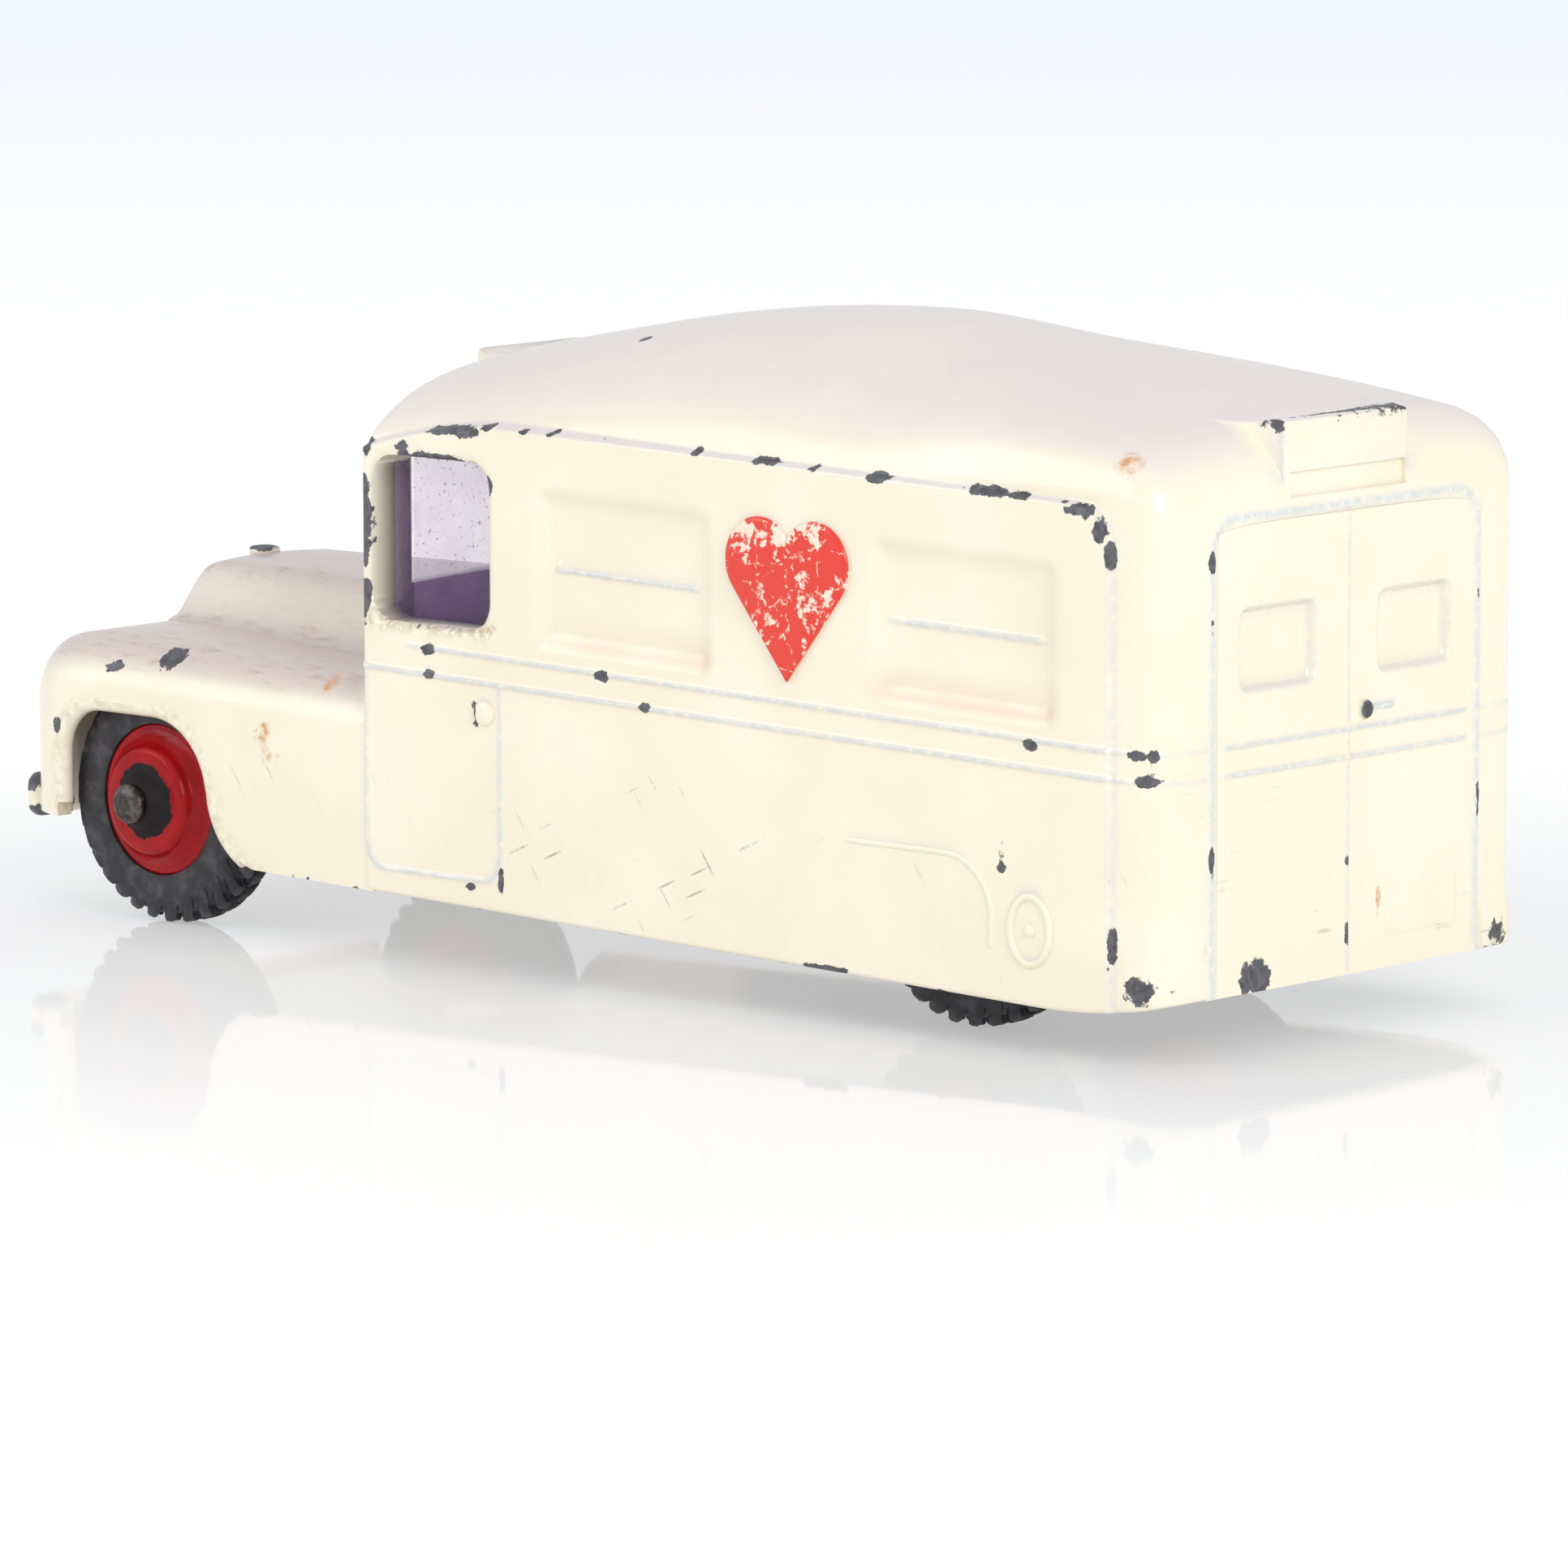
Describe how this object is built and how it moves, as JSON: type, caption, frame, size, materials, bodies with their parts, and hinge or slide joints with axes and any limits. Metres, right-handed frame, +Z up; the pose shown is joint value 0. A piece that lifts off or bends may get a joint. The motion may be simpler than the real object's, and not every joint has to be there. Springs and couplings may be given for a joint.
{
  "type": "toy ambulance",
  "caption": "Die-cast toy ambulance with a hollow cream body, bonnet nose, tinted cab windows, flat baseplate and free-rolling red wheels with treaded rubber tyres.",
  "frame": {"origin": "ground point under the middle of the overall length and width, level with the tyres' feet", "axes": "+X from nose to rear doors, +Y towards the vehicle's right side, +Z up"},
  "size_m": [0.096, 0.037, 0.0409],
  "materials": {
    "cream_enamel": "gloss enamel on a zinc casting, chipped to grey metal along raised edges",
    "tinplate": "pressed tinplate, dull and lightly scuffed",
    "tinted_glazing": "clear moulding with a faint lilac tint, scratched",
    "axle_steel": "drawn steel, darkened",
    "red_enamel": "gloss enamel, worn round the axle",
    "tyre_rubber": "satin black rubber with slanted shoulder lugs"
  },
  "bodies": {
    "van": {"body_casting": "cream_enamel", "baseplate": "tinplate", "window_glazing": "tinted_glazing"},
    "front_axle_shaft": {"front_axle": "axle_steel"},
    "rear_axle_shaft": {"rear_axle": "axle_steel"},
    "front_left_wheel": {"front_left_hub": "red_enamel", "front_left_tyre": "tyre_rubber"},
    "front_right_wheel": {"front_right_hub": "red_enamel", "front_right_tyre": "tyre_rubber"},
    "rear_left_wheel": {"rear_left_hub": "red_enamel", "rear_left_tyre": "tyre_rubber"},
    "rear_right_wheel": {"rear_right_hub": "red_enamel", "rear_right_tyre": "tyre_rubber"}
  },
  "joints": [
    {"name": "front_axle_spin", "type": "hinge", "parent": "van", "child": "front_axle_shaft", "pos_m": [-0.0357, 0, 0.00795], "axis": [0, 1, 0], "continuous": true},
    {"name": "rear_axle_spin", "type": "hinge", "parent": "van", "child": "rear_axle_shaft", "pos_m": [0.0285, 0, 0.00795], "axis": [0, 1, 0], "continuous": true},
    {"name": "front_left_wheel_spin", "type": "hinge", "parent": "front_axle_shaft", "child": "front_left_wheel", "pos_m": [-0.0357, 0, 0.00795], "axis": [0, 1, 0], "continuous": true},
    {"name": "front_right_wheel_spin", "type": "hinge", "parent": "front_axle_shaft", "child": "front_right_wheel", "pos_m": [-0.0357, 0, 0.00795], "axis": [0, 1, 0], "continuous": true},
    {"name": "rear_left_wheel_spin", "type": "hinge", "parent": "rear_axle_shaft", "child": "rear_left_wheel", "pos_m": [0.0285, 0, 0.00795], "axis": [0, 1, 0], "continuous": true},
    {"name": "rear_right_wheel_spin", "type": "hinge", "parent": "rear_axle_shaft", "child": "rear_right_wheel", "pos_m": [0.0285, 0, 0.00795], "axis": [0, 1, 0], "continuous": true}
  ]
}
